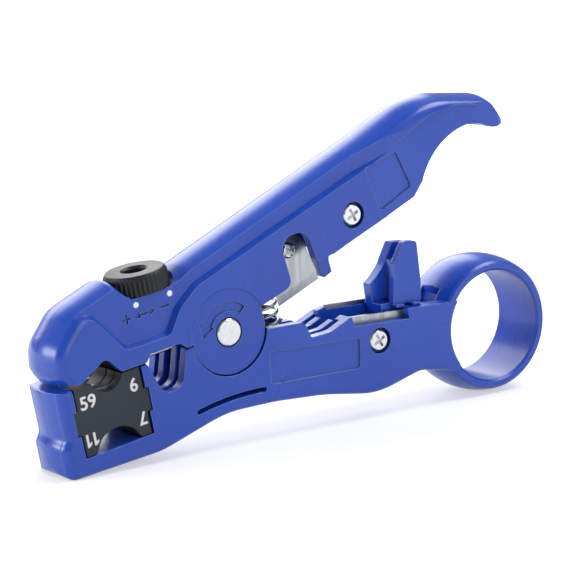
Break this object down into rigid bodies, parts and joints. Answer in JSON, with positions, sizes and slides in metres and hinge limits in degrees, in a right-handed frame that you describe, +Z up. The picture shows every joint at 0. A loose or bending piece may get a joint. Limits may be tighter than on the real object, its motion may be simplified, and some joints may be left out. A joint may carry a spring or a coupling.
{
  "type": "coaxial cable stripper",
  "caption": "Plier-like coaxial and flat cable stripper with a finger ring, swappable blade cassette, adjustable jacket blade, cutter and cable stop.",
  "frame": {"origin": "centre of the bounding box's base: the table under the middle of the resting tool", "axes": "+X from the jaws to the finger ring, +Y from the screw-head side to the nut side, +Z up; the tool rests on the corner of its lower jaw and on the crown of its ring"},
  "size_m": [0.1406, 0.0158, 0.0756],
  "materials": {
    "blue_plastic": "satin",
    "black_plastic": "satin",
    "cassette_plastic": "satin",
    "blade_steel": "ground",
    "spring_steel": "satin",
    "chrome_steel": "polished"
  },
  "bodies": {
    "handle": {"lower_handle": "blue_plastic", "pivot_pin": "chrome_steel", "pivot_clip": "spring_steel", "near_strip_blade": "blade_steel", "far_strip_blade": "blade_steel", "lower_screw": "chrome_steel", "lower_nut": "chrome_steel"},
    "lever": {"upper_lever": "blue_plastic", "return_spring": "spring_steel", "knob_pin_front": "chrome_steel", "knob_pin_rear": "chrome_steel", "cable_saddle": "black_plastic", "blade_holder": "blue_plastic", "cutter_blade": "blade_steel", "cutter_blade_screw": "chrome_steel", "flat_cable_blade": "blade_steel", "upper_screw": "chrome_steel", "upper_nut": "chrome_steel"},
    "knob": {"depth_knob": "black_plastic"},
    "carrier": {"blade_carrier": "black_plastic", "jacket_blade": "blade_steel"},
    "cassette": {"cassette_body": "cassette_plastic", "coax_blade_1": "blade_steel", "coax_blade_2": "blade_steel", "coax_blade_3": "blade_steel"},
    "stop": {"cable_stop": "blue_plastic"}
  },
  "joints": [
    {"name": "handle_squeeze", "type": "hinge", "parent": "handle", "child": "lever", "pos_m": [-0.02426, 0, 0.02723], "axis": [0, 1, 0], "range_deg": [0, 24], "stiffness_Nm_per_rad": 0.3, "springref_deg": -28.65, "deforming": ["return_spring"]},
    {"name": "knob_turn", "type": "hinge", "parent": "lever", "child": "knob", "pos_m": [-0.04376, 0, 0.04135], "axis": [-0.1565, 0, 0.9877], "range_deg": [-720, 720]},
    {"name": "carrier_slide", "type": "slide", "parent": "lever", "child": "carrier", "axis": [-0.1565, 0, 0.9877], "range_m": [-0.0016, 0.0016]},
    {"name": "cassette_slide", "type": "slide", "parent": "handle", "child": "cassette", "axis": [0, -1, 0], "range_m": [0, 0.0158]},
    {"name": "stop_slide", "type": "slide", "parent": "handle", "child": "stop", "axis": [0.9997, 0, -0.0227], "range_m": [0, 0.004]}
  ],
  "couplings": [
    {"joint": "knob_turn", "follows": "carrier_slide", "rad_per_m": 7854}
  ]
}
